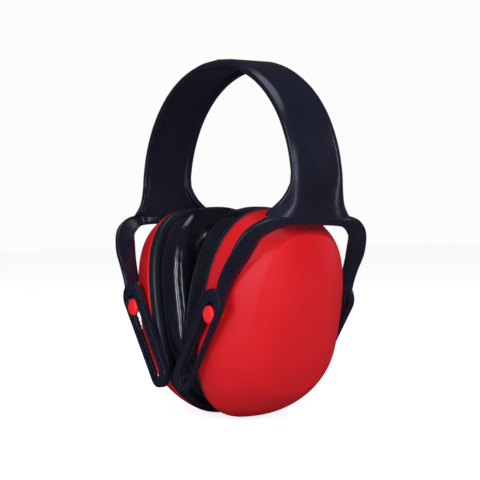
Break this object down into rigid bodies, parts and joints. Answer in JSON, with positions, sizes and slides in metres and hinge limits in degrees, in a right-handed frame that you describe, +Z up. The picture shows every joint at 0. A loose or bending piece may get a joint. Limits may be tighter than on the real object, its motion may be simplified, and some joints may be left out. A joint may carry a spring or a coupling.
{
  "type": "earmuff hearing protector",
  "caption": "Over-the-head passive earmuff: deep domed ear cups on a sprung arch with forked ends; the cups slide in toothed slots and tilt on push-in studs.",
  "frame": {"origin": "midway between the two cups, on the plane that the cup bottoms stand on", "axes": "+X towards the wearer's left ear, -Y to the front, +Z up through the crown of the band"},
  "size_m": [0.1398, 0.0844, 0.1815],
  "materials": {
    "headband_black": "satin black moulded acetal",
    "shell_red": "satin red moulded ABS",
    "stud_red": "bright red moulded plastic",
    "base_plate_black": "satin black moulded ABS",
    "cushion_vinyl": "glossy black vinyl film",
    "cushion_foam": "open-cell foam",
    "liner_foam": "open-cell foam"
  },
  "bodies": {
    "crown": {"band_crown": "headband_black"},
    "left_strand": {"left_strand": "headband_black"},
    "left_fork": {"left_fork": "headband_black"},
    "left_studs": {"left_front_stud": "stud_red", "left_rear_stud": "stud_red"},
    "left_cup": {"left_cup_shell": "shell_red", "left_base_plate": "base_plate_black", "left_cushion_clip": "base_plate_black", "left_liner_foam": "liner_foam", "left_cushion_foam": "cushion_foam", "left_cushion_cover": "cushion_vinyl"},
    "right_strand": {"right_strand": "headband_black"},
    "right_fork": {"right_fork": "headband_black"},
    "right_studs": {"right_front_stud": "stud_red", "right_rear_stud": "stud_red"},
    "right_cup": {"right_cup_shell": "shell_red", "right_base_plate": "base_plate_black", "right_cushion_clip": "base_plate_black", "right_liner_foam": "liner_foam", "right_cushion_foam": "cushion_foam", "right_cushion_cover": "cushion_vinyl"}
  },
  "joints": [
    {"name": "left_spread", "type": "hinge", "parent": "crown", "child": "left_strand", "pos_m": [0.026, 0, 0.17708], "axis": [0, -1, 0], "range_deg": [0, 22], "stiffness_Nm_per_rad": 3, "springref_deg": -2.86},
    {"name": "left_flex", "type": "hinge", "parent": "left_strand", "child": "left_fork", "pos_m": [0.0699, 0, 0.114], "axis": [0, -1, 0], "range_deg": [0, 18.6]},
    {"name": "left_slide", "type": "slide", "parent": "left_fork", "child": "left_studs", "axis": [-0.5621, 0, -0.8271], "range_m": [0, 0.038]},
    {"name": "left_tilt", "type": "hinge", "parent": "left_studs", "child": "left_cup", "pos_m": [0.0349, 0, 0.055], "axis": [0, -1, 0], "range_deg": [0, 10]},
    {"name": "right_spread", "type": "hinge", "parent": "crown", "child": "right_strand", "pos_m": [-0.026, 0, 0.17708], "axis": [0, 1, 0], "range_deg": [0, 22], "stiffness_Nm_per_rad": 3, "springref_deg": -2.86},
    {"name": "right_flex", "type": "hinge", "parent": "right_strand", "child": "right_fork", "pos_m": [-0.0699, 0, 0.114], "axis": [0, 1, 0], "range_deg": [0, 18.6]},
    {"name": "right_slide", "type": "slide", "parent": "right_fork", "child": "right_studs", "axis": [0.5621, 0, -0.8271], "range_m": [0, 0.038]},
    {"name": "right_tilt", "type": "hinge", "parent": "right_studs", "child": "right_cup", "pos_m": [-0.0349, 0, 0.055], "axis": [0, 1, 0], "range_deg": [0, 10]}
  ],
  "couplings": [
    {"joint": "left_flex", "follows": "left_slide", "rad_per_m": 8.5},
    {"joint": "right_flex", "follows": "right_slide", "rad_per_m": 8.5}
  ]
}
